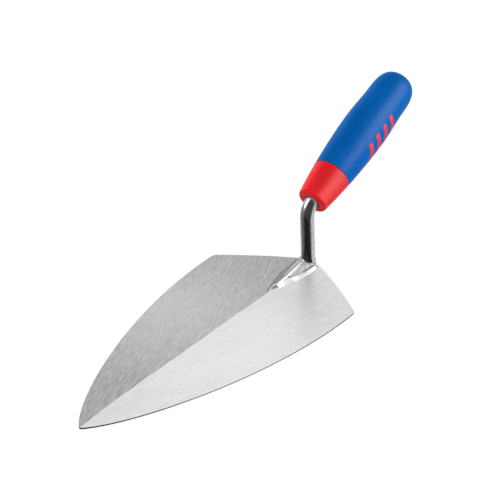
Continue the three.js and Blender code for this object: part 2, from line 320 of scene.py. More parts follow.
def leaf_grid(heel, side, tip, stray):
    """Rows of plan points over a leaf shape, from its heel to its tip.

    heel and tip run from the middle line to the +Y side, and side runs from the one's end to the other's.
    stray(x) says where the middle line really is. The rows crowd a little towards the tip. The heel's bow
    fades out over the first rows, and the tip's comes in over the last ones.
    """
    last_row = len(side) - 1
    last_column = len(heel) - 1
    rows = []
    for i, edge in enumerate(side):
        share = i / last_row
        middle_x = heel[0].x + (tip[0].x - heel[0].x) * (1 - (1 - share) ** 1.15)
        heel_pull = (1 - share) ** 3
        tip_pull = share ** 12
        row = []
        for j in range(-last_column, last_column + 1):
            half = -1 if j < 0 else 1
            out = abs(j) / last_column
            middle = Vector((middle_x, half * stray(middle_x)))
            heel_bow = heel[abs(j)] - Vector((heel[0].x, half * stray(heel[0].x))).lerp(side[0], out)
            tip_bow = tip[abs(j)] - Vector((tip[0].x, half * stray(tip[0].x))).lerp(side[-1], out)
            place = middle.lerp(edge, out) + heel_bow * heel_pull + tip_bow * tip_pull
            row.append(Vector((place.x, half * place.y)))
        rows.append(row)
    return rows


def slab(grid, top_of, bottom_of, edge_break):
    """The closed solid between two surfaces over a grid, as (points, top faces, bottom faces, wall faces)."""
    points = []
    layers = []
    for height_of in (top_of, bottom_of):
        rows = []
        for row in grid:
            rows.append(list(range(len(points), len(points) + len(row))))
            points.extend(Vector((p.x, p.y, height_of(p.x, p.y))) for p in row)
        layers.append(rows)
    rims = [rim(rows) for rows in layers]
    rings = [[], []]
    outward = loop_normals([points[v] for v in rims[0]])
    for top, bottom, normal in zip(*rims, outward):
        for ring, rim_point, drop in ((rings[0], top, -edge_break), (rings[1], bottom, edge_break)):
            ring.append(len(points))
            points.append(points[rim_point] + UP * drop)
            points[rim_point] = points[rim_point] - normal * edge_break
    walls = strip([rims[1], rings[1], rings[0], rims[0]], closed=True)
    return points, strip(layers[0]), strip(layers[1]), walls


def rim(rows):
    """The point numbers round the edge of a grid."""
    return rows[0] + [row[-1] for row in rows[1:]] + rows[-1][-2::-1] + [row[0] for row in rows[-2:0:-1]]


def loop_normals(loop):
    """Outward directions in plan of a loop that runs clockwise seen from above."""
    normals = []
    for i in range(len(loop)):
        step = loop[(i + 1) % len(loop)] - loop[i - 1]
        normals.append(Vector((-step.y, step.x, 0)).normalized())
    return normals


def face_centre(points, face):
    return sum((points[v] for v in face), Vector()) / len(face)


def make_mesh(name, points, faces, materials, slots=None):
    """A mesh object; slots has a material number for each face."""
    mesh = bpy.data.meshes.new(name)
    mesh.from_pydata([tuple(p) for p in points], [], faces)
    for material in materials:
        mesh.materials.append(material)
    if slots:
        mesh.polygons.foreach_set("material_index", slots)
    work = bmesh.new()
    work.from_mesh(mesh)
    bmesh.ops.remove_doubles(work, verts=work.verts, dist=MERGE_DISTANCE)
    bmesh.ops.recalc_face_normals(work, faces=work.faces)
    work.to_mesh(mesh)
    work.free()
    piece = bpy.data.objects.new(name, mesh)
    bpy.context.scene.collection.objects.link(piece)
    return piece


def finish_piece(piece, node, sharp_angle=30):
    """Smooth shades a piece between its true edges and puts it in the place of a CAD node."""
    piece.data.shade_smooth()
    piece.data.set_sharp_from_angle(angle=math.radians(sharp_angle))
    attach(piece, "root")
    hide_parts(node)
    return piece


def boolean(piece, other, operation):
    """Joins piece with other, or cuts it by other, and removes other.

    Faces that come from other keep its materials. If it has none, they get the piece's first one.
    """
    modifier = piece.modifiers.new("boolean", "BOOLEAN")
    modifier.operation = operation
    modifier.solver = "EXACT"
    modifier.material_mode = "TRANSFER" if other.data.materials else "INDEX"
    modifier.object = other
    depsgraph = bpy.context.evaluated_depsgraph_get()
    result = bpy.data.meshes.new_from_object(piece.evaluated_get(depsgraph))
    piece.modifiers.clear()
    piece.data = result
    bpy.data.objects.remove(other)


# ---- Node helpers for the materials -------------------------------------------------------------


class Nodes:
    """A node tree with short calls for the nodes that are used here."""

    def __init__(self, tree):
        self.tree = tree

    def add(self, kind, **settings):
        node = self.tree.nodes.new(kind)
        for key, value in settings.items():
            setattr(node, key, value)
        return node

    def put(self, socket, value):
        if isinstance(value, bpy.types.NodeSocket):
            self.tree.links.new(value, socket)
        else:
            socket.default_value = value

    def math(self, operation, a, b=0.0, c=0.0):
        node = self.add("ShaderNodeMath", operation=operation)
        for socket, value in zip(node.inputs, (a, b, c)):
            self.put(socket, value)
        return node.outputs[0]

    def vector_math(self, operation, a, b):
        node = self.add("ShaderNodeVectorMath", operation=operation)
        self.put(node.inputs[0], a)
        self.put(node.inputs[1], b)
        return node.outputs["Value" if operation in ("DOT_PRODUCT", "DISTANCE") else "Vector"]

    def axis(self, vector, letter):
        node = self.add("ShaderNodeSeparateXYZ")
        self.put(node.inputs["Vector"], vector)
        return node.outputs[letter]

    def spread(self, value, low, high, to_low=0.0, to_high=1.0):
        node = self.add("ShaderNodeMapRange", clamp=True, interpolation_type="SMOOTHSTEP")
        for key, number in (("From Min", low), ("From Max", high), ("To Min", to_low), ("To Max", to_high)):
            self.put(node.inputs[key], number)
        self.put(node.inputs["Value"], value)
        return node.outputs["Result"]

    def blend(self, factor, a, b):
        node = self.add("ShaderNodeMix", data_type="FLOAT")
        self.put(node.inputs["Factor"], factor)
        self.put(node.inputs["A"], a)
        self.put(node.inputs["B"], b)
        return node.outputs["Result"]

    def mix(self, factor, a, b):
        node = self.add("ShaderNodeMix", data_type="RGBA")
        self.put(node.inputs[0], factor)
        self.put(node.inputs[6], a)
        self.put(node.inputs[7], b)
        return node.outputs[2]


class Shader(Nodes):
    """A material with a Principled BSDF, textured in the object's own coordinates."""

    def __init__(self, name):
        self.material = bpy.data.materials.new(name)
        self.material.use_nodes = True
        super().__init__(self.material.node_tree)
        self.bsdf = self.tree.nodes["Principled BSDF"]
        self.place = self.add("ShaderNodeTexCoord").outputs["Object"]

    def set(self, **inputs):
        for key, value in inputs.items():
            self.put(self.bsdf.inputs[key.replace("_", " ")], value)

    def stretched(self, size, angle=0.0, tilt=0.0):
        """Object coordinates in texture cells of a size in mm, turned about Z and tilted about Y."""
        turn = self.add("ShaderNodeMapping", vector_type="TEXTURE")
        self.put(turn.inputs["Vector"], self.place)
        turn.inputs["Rotation"].default_value = (0, tilt, angle)
        turn.inputs["Scale"].default_value = [s * MM for s in size]
        return turn.outputs["Vector"]

    def noise(self, vector, detail=2.0, roughness=0.5, distortion=0.0):
        node = self.add("ShaderNodeTexNoise")
        self.put(node.inputs["Vector"], vector)
        node.inputs["Scale"].default_value = 1.0
        node.inputs["Detail"].default_value = detail
        node.inputs["Roughness"].default_value = roughness
        node.inputs["Distortion"].default_value = distortion
        return node.outputs["Fac"]

    def seen_mirrored(self):
        """1 where a reflection shows the material, else 0."""
        return self.add("ShaderNodeLightPath").outputs["Is Glossy Ray"]

    def stroke(self, start, end, half_width):
        """1 on the line between two plan points, fading to 0 at half_width from it."""
        way = (end - start).normalized()
        offset = self.vector_math("SUBTRACT", self.place, (start.x, start.y, 0))
        along = self.vector_math("DOT_PRODUCT", offset, (way.x, way.y, 0))
        across = self.vector_math("DOT_PRODUCT", offset, (-way.y, way.x, 0))
        near = self.spread(self.math("ABSOLUTE", across), half_width, half_width * 0.3)
        length = (end - start).length
        within = self.math("MULTIPLY", self.spread(along, -MM, 0), self.spread(along, length + MM, length))
        return self.math("MULTIPLY", near, within)

    def painted_shade_lines(self, colour, lines):
        """The colour with lines of painted shade on it, each given as (start, end) plan points and a half
        width.
        """
        for start, end, half_width in lines:
            colour = self.mix(self.stroke(start, end, half_width), colour, grey(PAINTED_SHADE_LEVEL))
        return colour

    def bump(self, height, distance, onto=None):
        node = self.add("ShaderNodeBump")
        self.put(node.inputs["Height"], height)
        node.inputs["Distance"].default_value = distance * MM
        if onto is not None:
            self.put(node.inputs["Normal"], onto)
        return node.outputs["Normal"]


def grey(level, tint=(1.0, 1.0, 1.0)):
    return (level * tint[0], level * tint[1], level * tint[2], 1.0)


# ---- Materials ----------------------------------------------------------------------------------


def ground_steel(
    name,
    grain,
    level,
    tint=(1.0, 1.0, 1.0),
    roughness=0.42,
    anisotropy=0.7,
    grit=0.2,
    mirrored=0.12,
    lines=(),
    painted_sheen=None,
):
    """Hand-ground steel of a brightness level, with scratches at the grain angle and slow uneven patches.

    The grain angle is in degrees, and grit is how strongly the fine scratches darken the steel. Where
    reflections show it, its brightness drops to the mirrored share, as it mirrors the dark side of the
    room there. lines give painted shade along grooves and edges, and the brighter patch is a painted
    highlight.
    """
    shader = Shader(name)
    angle = math.radians(grain)
    fine = shader.noise(shader.stretched(FINE_SCRATCHES, angle), detail=2)
    coarse = shader.noise(shader.stretched(COARSE_SCRATCHES, angle + COARSE_TURN), detail=3)
    patches = shader.noise(shader.stretched(GROUND_PATCHES, angle), detail=2)
    lone = shader.noise(shader.stretched(LONE_SCRATCHES, angle + LONE_TURN), detail=1)
    tone = 0.0
    for layer, share in ((fine, 0.45), (coarse, 0.3), (patches, 0.25)):
        tone = shader.math("MULTIPLY_ADD", layer, share, tone)

    def shade(share):
        return grey(level * share, tint)

    colour = shader.mix(shader.spread(tone, 0.34, 0.66), shade(0.93), shade(1.13))
    colour = shader.mix(shader.spread(fine, 0.35, 0.65, 0, grit), colour, shade(0.58))
    colour = shader.mix(shader.spread(lone, 0.68, 0.78, 0, 0.3), colour, shade(0.78))
    # A round patch painted brighter on the face: a painted highlight.
    if painted_sheen:
        centre, radius, strength = painted_sheen
        off = shader.vector_math("DISTANCE", shader.place, (centre.x, centre.y, 0))
        colour = shader.mix(shader.spread(off, radius, 0, 0, strength), colour, shade(1.4))
    # Lines of painted shade along grooves and edges.
    colour = shader.painted_shade_lines(colour, lines)
    # The highlight stretches along the tangent, and on ground steel that is across the scratches.
    across = shader.add("ShaderNodeCombineXYZ")
    across.inputs["X"].default_value = -math.sin(angle)
    across.inputs["Y"].default_value = math.cos(angle)
    shader.set(
        Base_Color=shader.mix(shader.seen_mirrored(), colour, shade(mirrored)),
        Metallic=1.0,
        Roughness=shader.spread(tone, 0.3, 0.7, roughness - 0.03, roughness + 0.05),
        Anisotropic=anisotropy,
        Tangent=across.outputs["Vector"],
        Normal=shader.bump(shader.math("ADD", fine, coarse), 0.006),
    )
    return shader.material


def forged_steel(name, level, roughness, mottle, relief=1.0, lines=(), glow=0.0):
    """Dressed forging: soft dents, dull stains, a green-grey cast and lines of painted shade.

    mottle is how strong the stains are, and relief scales all bumps. glow is light that it gives off in
    the other pieces' reflections, where it would be too dark.
    """
    shader = Shader(name)
    dents = shader.noise(shader.stretched(DENTS), detail=2)
    stains = shader.noise(shader.stretched(STAINS), detail=4, roughness=0.6, distortion=0.4)
    hairs = shader.noise(shader.stretched(HAIRS), detail=2)
    clean_metal = grey(level, CLEAN_TINT)
    dull_metal = grey(level * 0.6, DULL_TINT)
    colour = shader.mix(shader.spread(stains, 0.42, 0.66, 0, mottle), clean_metal, dull_metal)
    skin = shader.bump(shader.math("ADD", stains, hairs), 0.012 * relief)
    shader.set(
        Base_Color=shader.painted_shade_lines(colour, lines),
        Emission_Color=grey(1.0),
        Emission_Strength=shader.math("MULTIPLY", shader.seen_mirrored(), glow),
        Metallic=1.0,
        Roughness=shader.spread(stains, 0.35, 0.7, roughness, roughness + 0.14),
        Normal=shader.bump(dents, 0.12 * relief, onto=skin),
    )
    return shader.material


def moulded_plastic(name, colour, deep_colour, roughness, skin_height, specular):
    """Moulded plastic: a fine sparked skin, slow colour drift and a few faint scuffs along the grip.

    It is greyer where reflections show it, so that the brushed steel doesn't take on its colour.
    """
    shader = Shader(name)
    skin = shader.noise(shader.stretched(SKIN), detail=2)
    drift = shader.noise(shader.stretched(DRIFT), detail=2)
    scuffs = shader.noise(shader.stretched(SCUFFS, tilt=HANDLE_RISE), detail=3)
    wear = shader.spread(scuffs, 0.6, 0.75)
    rough = shader.spread(drift, 0.3, 0.7, roughness, roughness + 0.05)
    body = shader.mix(shader.spread(drift, 0.35, 0.65), deep_colour, colour)
    greyed = shader.math("MULTIPLY", shader.seen_mirrored(), MIRRORED_SHARE)
    shader.set(
        Base_Color=shader.mix(greyed, body, grey(MIRRORED_LEVEL)),
        Roughness=shader.math("MULTIPLY_ADD", wear, 0.06, rough),
        Specular_IOR_Level=specular,
        Normal=shader.bump(skin, skin_height),
    )
    return shader.material


# ---- Blade --------------------------------------------------------------------------------------


def blade_outline():
    """The heel, side and tip of the blade's +Y half in plan."""
    corner = Vector((HEEL_X + HEEL_SWEEP, HALF_WIDTH))
    heel_start = Vector((HEEL_X, 0))
    before_corner = corner - CORNER_ROUND * (corner - heel_start).normalized()
    after_corner = corner + Vector((CORNER_ROUND, 0))
    before_tip = Vector((TIP_X - TIP_ROUND / 2, TIP_ROUND))
    heel_pull = Vector((HEEL_X + HEEL_SWEEP / 2 - 2 * HEEL_BOW, HALF_WIDTH / 2))
    corner_arc = curve_points([before_corner, corner, after_corner], 8)
    heel_arc = curve_points([heel_start, heel_pull, before_corner], 40)
    heel = resample(heel_arc, HEEL_STEPS) + corner_arc[1:]
    side_pull = corner + Vector((SIDE_RUN, SIDE_FLARE))
    tip_pull = Vector((TIP_X - TIP_RUN * math.cos(TIP_HALF_ANGLE), TIP_RUN * math.sin(TIP_HALF_ANGLE)))
    side = curve_points([after_corner, side_pull, tip_pull, before_tip], 300)
    tip = curve_points([Vector((TIP_X, 0)), Vector((TIP_X, TIP_ROUND / 2)), before_tip], len(heel) - 1)
    return heel, resample(side, SIDE_STEPS), tip


def ridge_height(x):
    return RIDGE_AT_HEEL + (RIDGE_AT_TIP - RIDGE_AT_HEEL) * (x - HEEL_X) / BLADE_LENGTH


def ridge_stray(x):
    """How far the ridge strays off the centre line, with small ripples left by the grinder."""
    share = (x - HEEL_X) / BLADE_LENGTH
    phase = 2 * math.pi * (x - HEEL_X) / RIDGE_WAVE_LENGTH
    ripple = RIDGE_WAVE * (math.sin(phase) + 0.5 * math.sin(2.3 * phase + 1))
    ends = smooth_step(0, 0.2, share) * smooth_step(1, 0.93, share)
    return (spline(RIDGE_STRAY, share) * MM + ripple) * ends


def blade_top(x, y):
    return ridge_height(x) - FACE_FALL * abs(y - ridge_stray(x))


def build_blade(right, left, underside, edge):
    """The blade, in a steel for each top face, the underside and the edge."""
    grid = leaf_grid(*blade_outline(), ridge_stray)
    points, top, bottom, walls = slab(grid, blade_top, lambda x, y: 0.0, EDGE_BREAK)
    columns = len(grid[0]) - 1
    slots = [1 if i % columns < columns / 2 else 0 for i in range(len(top))]
    slots += [2] * len(bottom) + [3] * len(walls)
    steels = [right, left, underside, edge]
    blade = make_mesh("blade_leaf", points, top + bottom + walls, steels, slots)
    return finish_piece(blade, "blade", sharp_angle=1.2)


# ---- Shank, foot and weld -----------------------------------------------------------------------

HANDLE_AXIS = Vector((-math.cos(HANDLE_RISE), 0, math.sin(HANDLE_RISE)))
SHANK_AXIS = Vector((math.sin(SHANK_LEAN), 0, math.cos(SHANK_LEAN)))
BEND_INWARD = Vector((-SHANK_AXIS.z, 0, SHANK_AXIS.x))
UNDER = HANDLE_AXIS.cross(SIDE)


def handle_outline():
    """Half profile of the handle as (radius, distance from the nose)."""
    nose_edge = Vector((NOSE_FACE_RADIUS, 0))
    nose_corner = Vector((NOSE_RADIUS, 0))
    cone_start = Vector((NOSE_RADIUS, NOSE_ROUND))
    before_belly = BELLY - Vector((0, BELLY_RUN))
    after_belly = BELLY + Vector((0, WAIST_RUN))
    before_waist = WAIST - Vector((0, WAIST_RUN))
    after_waist = WAIST + Vector((0, DOME_RUN))
    dome_corner = Vector((DOME_RADIUS, HANDLE_LENGTH))
    end = Vector((0, HANDLE_LENGTH))
    outline = curve_points([nose_edge, nose_corner, cone_start], 10)
    outline += curve_points([cone_start, CONE_POINT, before_belly, BELLY], 60)[1:]
    outline += curve_points([BELLY, after_belly, before_waist, WAIST], 24)[1:]
    outline += curve_points([WAIST, after_waist, dome_corner, end], 40)[1:]
    return outline


OUTLINE = handle_outline()


def reach(direction):
    """How far the handle extends from its nose in a direction of the XZ plane."""
    along = direction.dot(HANDLE_AXIS)
    across = math.sqrt(1 - along * along)
    return max(along * p.y + across * p.x for p in OUTLINE)


# The handle is placed so that it fills the grip sleeve's box.
NOSE = Vector((SLEEVE_LOW.x + reach(Vector((-1, 0, 0))), 0, SLEEVE_HIGH.z - reach(UP)))


def crank_distance():
    """How far up the shank's axis it crosses the handle's axis."""
    offset = NOSE - SHANK_START
    cross = SHANK_AXIS.x * HANDLE_AXIS.z - SHANK_AXIS.z * HANDLE_AXIS.x
    return (offset.x * HANDLE_AXIS.z - offset.z * HANDLE_AXIS.x) / cross


TURN = SHANK_AXIS.angle(HANDLE_AXIS)
SETBACK = BEND_RADIUS * math.tan(TURN / 2)
STRAIGHT_LENGTH = crank_distance() - SETBACK
BEND_START = SHANK_START + SHANK_AXIS * STRAIGHT_LENGTH
BEND_END = BEND_START + (SHANK_AXIS + HANDLE_AXIS) * SETBACK


def line_at(points, x):
    """The y of a polyline at a place along the blade, level beyond its ends."""
    if x <= points[0].x:
        return points[0].y
    for a, b in zip(points, points[1:]):
        if x <= b.x:
            return a.y + (b.y - a.y) * (x - a.x) / (b.x - a.x)
    return points[-1].y


WELD_NEAR = resample(curve_points([WELD_CORNER, WELD_PULL, WELD_FRONT], 100), 90)
WELD_FAR = resample(curve_points([FAR_WELD_CORNER, FAR_WELD_PULL, FAR_WELD_FRONT], 100), 90)
FOOT_NEAR = [FOOT_CORNER, FOOT_SHOULDER, FOOT_FRONT, FOOT_NOSE]
FOOT_FAR = [FAR_FOOT_CORNER, FAR_FOOT_NOSE]
FACET_NEAR = [FACET_BACK, FACET_FRONT, FOOT_NOSE]
FACET_FAR = [FAR_FACET_BACK, FAR_FACET_NOSE]


def half_plan(back, side):
    """Heel, side and tip of a +Y half in plan, from a point on the centre line and the side's points."""
    steps = 40
    front = side[-1]
    heel = [back.lerp(side[0], i / steps) for i in range(steps + 1)]
    tip = [Vector((front.x, 0)).lerp(front, i / steps) for i in range(steps + 1)]
    return heel, side, tip


def skewed_grid(back, near, far):
    """A leaf grid whose -Y half is squeezed in from the near side's shape to the far side's."""
    rows = leaf_grid(*half_plan(back, near), lambda x: 0.0)
    for row in rows:
        for p in row:
            if p.y < 0:
                p.y *= -line_at(far, p.x) / line_at(near, p.x)
    return rows


def foot_crest(x):
    """Height of the crest of foot and weld, which levels out at the weld's nose."""
    return CREST_AT_SHANK - CREST_FALL * min(x, FOOT_NOSE.x)


def foot_edge(x, y):
    """Half width of the foot on the side of y."""
    return abs(line_at(FOOT_NEAR if y >= 0 else FOOT_FAR, x))


def facet_edge(x, y):
    """Half width of the flat along the crest on the side of y."""
    return abs(line_at(FACET_NEAR if y >= 0 else FACET_FAR, x))


def foot_roof(x, y):
    """Top of the foot: a flat along the crest and a flank on each side of it."""
    facet = facet_edge(x, y)
    crest = foot_crest(x) - FACET_SLOPE * min(abs(y), facet)
    share = (abs(y) - facet) / max(foot_edge(x, y) - facet, LEAST_FLANK)
    return crest + (min(EDGE_HEIGHT, crest) - crest) * min(PAST_EDGE, max(0.0, share))


def in_hollow(x, y):
    """How far inside the unground hollow at the weld's nose a place is, negative outside it."""
    depth = 1.0
    for a, b in zip(HOLLOW, HOLLOW[1:] + HOLLOW[:1]):
        side = (b - a).normalized()
        depth = min(depth, side.y * (x - a.x) - side.x * (y - a.y))
    return depth


def weld_back(x, y):
    """Height of the weld's steep back edge above the blade."""
    corner = WELD_CORNER if y >= 0 else FAR_WELD_CORNER
    back_x = WELD_BACK.x + (corner.x - WELD_BACK.x) * y / corner.y
    return WELD_BACK_SLOPE * (x - back_x)


def weld_top(x, y):
    """Straight from the edge on the blade up to the foot, and over the crest in front of the foot."""
    across = abs(y)
    edge = abs(line_at(WELD_NEAR if y >= 0 else WELD_FAR, x))
    inner = foot_edge(x, y)
    base = blade_top(x, math.copysign(edge, y)) - EDGE_SINK
    joint = foot_roof(x, math.copysign(inner, y))
    fall = max(0.0, (x - FOOT_NOSE.x) / (WELD_FRONT.x - FOOT_NOSE.x))
    joint += (base - joint) * fall
    if across >= inner:
        top = base + (joint - base) * (edge - across) / max(edge - inner, 0.01 * MM)
        if x < FOOT_FRONT.x:
            top -= UNDERCUT * smooth_step(UNDERCUT_WIDTH, 0, across - inner)
    elif x < FOOT_FRONT.x:
        top = joint - UNDERCUT
    else:
        top = foot_roof(x, y) * (1 - fall) + base * fall
    top -= HOLLOW_DEPTH * smooth_step(0, HOLLOW_SLOPE, in_hollow(x, y))
    return min(top, base + weld_back(x, y))


def bar_stations():
    """(centre, direction) pairs from inside the foot up the shank and round the bend."""
    levels = [BAR_START + FOOT_RING_STEP * i for i in range(FOOT_RINGS)]
    top = levels[-1]
    levels += [top + (STRAIGHT_LENGTH - top) * i / BAR_RINGS for i in range(1, BAR_RINGS)]
    stations = [(SHANK_START + SHANK_AXIS * level, SHANK_AXIS) for level in levels]
    for i in range(BAR_RINGS + 1):
        angle = TURN * i / BAR_RINGS
        centre = BEND_START + BEND_INWARD * BEND_RADIUS * (1 - math.cos(angle))
        centre = centre + SHANK_AXIS * BEND_RADIUS * math.sin(angle)
        stations.append((centre, SHANK_AXIS * math.cos(angle) + BEND_INWARD * math.sin(angle)))
    stations.append((BEND_END + HANDLE_AXIS * BAR_RUN, HANDLE_AXIS))
    return stations


def fillet(place, sideways):
    """How far the bar flares out at a place on its surface to run into the foot.

    sideways is 1 on the bar's +Y side and -1 on its -Y side.
    """
    radius = FILLET + (FAR_FILLET - FILLET) * max(0.0, -sideways) ** 2
    above = max(0.0, place.z - foot_roof(place.x, place.y))
    if above >= radius:
        return 0.0
    return radius - math.sqrt(radius * radius - (radius - above) ** 2)


def bar_ring(centre, direction, angles):
    """Points round the bar at one of its stations."""
    front = SIDE.cross(direction)
    result = []
    for angle in angles:
        outward = front * math.cos(angle) + SIDE * math.sin(angle)
        place = centre + outward * SHANK_RADIUS
        result.append(place + outward * fillet(place, math.sin(angle)))
    return result


def notch(distance):
    """Depth of the V notches at a distance along the tang."""
    for i in range(NOTCH_PAIRS):
        gap = abs(distance - (TANG_LENGTH - NOTCH_FROM_END - i * NOTCH_PITCH))
        if gap < NOTCH_DEPTH:
            return NOTCH_DEPTH - gap
    return 0.0


def tang_ring(distance, angles):
    """Points round the tang, which turns from the round bar to a notched, tapering square."""
    blend = smooth_step(0, TANG_BLEND, distance)
    taper = TANG_HALF_WIDTH + (TANG_END_HALF_WIDTH - TANG_HALF_WIDTH) * distance / TANG_LENGTH
    half_width = SHANK_RADIUS + (taper - SHANK_RADIUS) * blend
    power = ROUND_POWER + (SQUARE_POWER - ROUND_POWER) * blend
    limit = half_width - notch(distance)
    centre = BEND_END + HANDLE_AXIS * (BAR_RUN + distance)
    result = []
    for angle in angles:
        upward = math.cos(angle)
        sideways = math.sin(angle)
        size = half_width * (abs(upward) ** power + abs(sideways) ** power) ** (-1 / power)
        result.append(centre - UNDER * max(-limit, min(limit, upward * size)) + SIDE * sideways * size)
    return result


def foot_slot(place):
    """Which of the foot's steels a face has: 0 near flank, 1 flat along the crest, 2 far flank."""
    if abs(place.y) <= facet_edge(place.x, place.y):
        return 1
    return 0 if place.y > 0 else 2


def build_shank(bar_steel, foot_steels):
    """The bar with its tang, joined to the foot, which has a steel for each of its slots."""
    angles = [2 * math.pi * i / BAR_TURNS for i in range(BAR_TURNS)]
    rings = [bar_ring(centre, direction, angles) for centre, direction in bar_stations()]
    rings += [tang_ring(TANG_LENGTH * i / TANG_RINGS, angles) for i in range(1, TANG_RINGS + 1)]
    points = [p for ring in rings for p in ring]
    rows = [list(range(i * BAR_TURNS, (i + 1) * BAR_TURNS)) for i in range(len(rings))]
    faces = strip(rows, closed=True) + [tuple(rows[0]), tuple(rows[-1])]
    shank = make_mesh("cranked_shank", points, faces, [bar_steel])
    grid = skewed_grid(FOOT_BACK, resample(FOOT_NEAR[:3], 60), FOOT_FAR)
    points, top, bottom, walls = slab(grid, foot_roof, lambda x, y: FOOT_BOTTOM, FOOT_EDGE_BREAK)
    faces = top + bottom + walls
    slots = [foot_slot(face_centre(points, face)) for face in faces]
    boolean(shank, make_mesh("foot", points, faces, foot_steels, slots), "UNION")
    return finish_piece(shank, "shank")


def weld_bottom(x, y):
    return blade_top(x, y) - EMBED


def weld_slot(place):
    """Which of the weld's steels a face has: 0 near side, 1 nose, 2 far side, 3 dark unground scale."""
    x, y = place.x, place.y
    burr = y < BURR + line_at(WELD_FAR, x)
    at_back = weld_back(x, y) < BACK_BURR
    if in_hollow(x, y) > HOLLOW_RIM or burr or at_back:
        return 3
    if y < line_at(FACET_FAR, x) or x > HOLLOW[-1].x:
        return 2
    return 1 if x > FOOT_FRONT.x else 0


def build_weld(steels):
    """The weld, which has a steel for each of its slots."""
    grid = skewed_grid(WELD_BACK, WELD_NEAR, WELD_FAR)
    points, top, bottom, walls = slab(grid, weld_top, weld_bottom, WELD_EDGE_BREAK)
    faces = top + bottom + walls
    slots = [weld_slot(face_centre(points, face)) for face in faces]
    weld = make_mesh("foot_weld_skirt", points, faces, steels, slots)
    return finish_piece(weld, "foot_weld", sharp_angle=10)


# ---- Handle -------------------------------------------------------------------------------------


def handle_point(radius, along, angle):
    """A point of the handle; angle 0 faces the side of the tool and 90 degrees its underside."""
    across = SIDE * math.cos(angle) + UNDER * math.sin(angle)
    return NOSE + HANDLE_AXIS * along + across * radius


def outline_radius(along):
    for a, b in zip(OUTLINE, OUTLINE[1:]):
        if a.y <= along <= b.y:
            return a.x + (b.x - a.x) * (along - a.y) / max(b.y - a.y, 1e-9)
    return 0.0


def lathe(profile):
    """Points and faces turned round the handle's axis from (radius, along) pairs."""
    points = []
    rows = []
    for radius, along in profile:
        if radius < ON_AXIS:
            rows.append([len(points)] * TURNS)
            points.append(handle_point(0, along, 0))
            continue
        rows.append(list(range(len(points), len(points) + TURNS)))
        points.extend(handle_point(radius, along, 2 * math.pi * i / TURNS) for i in range(TURNS))
    return points, strip(rows, closed=True)


def mark_bar(number, grow, proud):
    """One slanted bar as a solid patch of the grip's surface, from inside the core to above the surface."""
    middle = MARK_START + number * MARK_PITCH
    half_width = MARK_WIDTH / 2 + grow
    half_height = MARK_HEIGHT / 2 + grow
    grids = [[], []]
    points = []
    for i in range(MARK_STEPS + 1):
        rows = [[], []]
        for j in range(MARK_STEPS + 1):
            down = half_height * (2 * j / MARK_STEPS - 1)
            along = middle + half_width * (2 * i / MARK_STEPS - 1) - MARK_SLANT * down / MARK_HEIGHT
            angle = MARK_TURN + math.asin(down / BELLY.x)
            for row, radius in zip(rows, (MARK_ROOT, outline_radius(along) + proud)):
                row.append(len(points))
                points.append(handle_point(radius, along, angle))
        for grid, row in zip(grids, rows):
            grid.append(row)
    rims = [rim(grid) for grid in grids]
    faces = strip(grids[0]) + strip(grids[1]) + strip(rims, closed=True)
    return make_mesh("mark", points, faces, [])


def mouth_edge():
    """(radius, along) pairs round the edge of the mouth, from its wall to the nose's face."""
    pairs = []
    for i in range(MOUTH_STEPS + 1):
        angle = math.pi / 2 * i / MOUTH_STEPS
        radius = MOUTH_RADIUS + MOUTH_ROUND * (1 - math.cos(angle))
        pairs.append((radius, MOUTH_ROUND * (1 - math.sin(angle))))
    return pairs


def build_core(plastic):
    """The nose cone with its mouth and bore, the plain core behind it, and the marks."""
    bore_end = (BEND_END - NOSE).length + BAR_RUN + TANG_LENGTH + BORE_SPARE
    cone_end = SLEEVE_START - SEAM
    cone_radius = outline_radius(cone_end)
    profile = [(0, bore_end), (BORE_RADIUS, bore_end)]
    profile += [(BORE_RADIUS, MOUTH_DEPTH), (MOUTH_RADIUS, MOUTH_DEPTH)]
    profile += mouth_edge()
    profile += [(p.x, p.y) for p in OUTLINE if p.y < cone_end]
    profile += [(cone_radius, cone_end), (cone_radius - SEAM, SLEEVE_START)]
    profile += [(CORE_RADIUS, SLEEVE_START), (CORE_RADIUS, CORE_LENGTH), (0, CORE_LENGTH)]
    core = make_mesh("handle_core_red", *lathe(profile), [plastic])
    for number in range(MARK_COUNT):
        boolean(core, mark_bar(number, 0.0, MARK_PROUD), "UNION")
    return finish_piece(core, "handle_core")


def build_sleeve(plastic):
    """The sleeve from the seam behind the cone to the dome, with windows for the marks."""
    inner = CORE_RADIUS + MOULD_GAP
    inner_start = SLEEVE_START + MOULD_GAP
    inner_end = CORE_LENGTH + MOULD_GAP
    seam_end = SLEEVE_START + SEAM
    profile = [(0, inner_end), (inner, inner_end), (inner, inner_start)]
    profile += [(outline_radius(SLEEVE_START) - SEAM, inner_start), (outline_radius(seam_end), seam_end)]
    profile += [(p.x, p.y) for p in OUTLINE if p.y > seam_end]
    sleeve = make_mesh("grip_sleeve_blue", *lathe(profile), [plastic])
    for number in range(MARK_COUNT):
        boolean(sleeve, mark_bar(number, MARK_GAP, WINDOW_PROUD), "DIFFERENCE")
    return finish_piece(sleeve, "grip_sleeve")


# ---- Stage --------------------------------------------------------------------------------------


def add_camera():
    data = bpy.data.cameras.new("camera")
    data.lens = LENS
    data.clip_end = 20
    camera = bpy.data.objects.new("camera", data)
    bpy.context.scene.collection.objects.link(camera)
    back = CAMERA_SIDE * math.cos(VIEW_ELEVATION) + UP * math.sin(VIEW_ELEVATION)
    level_up = back.cross(CAMERA_RIGHT)
    right = CAMERA_RIGHT * math.cos(VIEW_ROLL) + level_up * math.sin(VIEW_ROLL)
    camera.matrix_world = Matrix((right, back.cross(right), back)).transposed().to_4x4()
    camera.location = VIEW_TARGET + back * VIEW_DISTANCE
    bpy.context.scene.camera = camera


def collect(name, pieces):
    collection = bpy.data.collections.new(name)
    for piece in pieces:
        collection.objects.link(piece)
    return collection


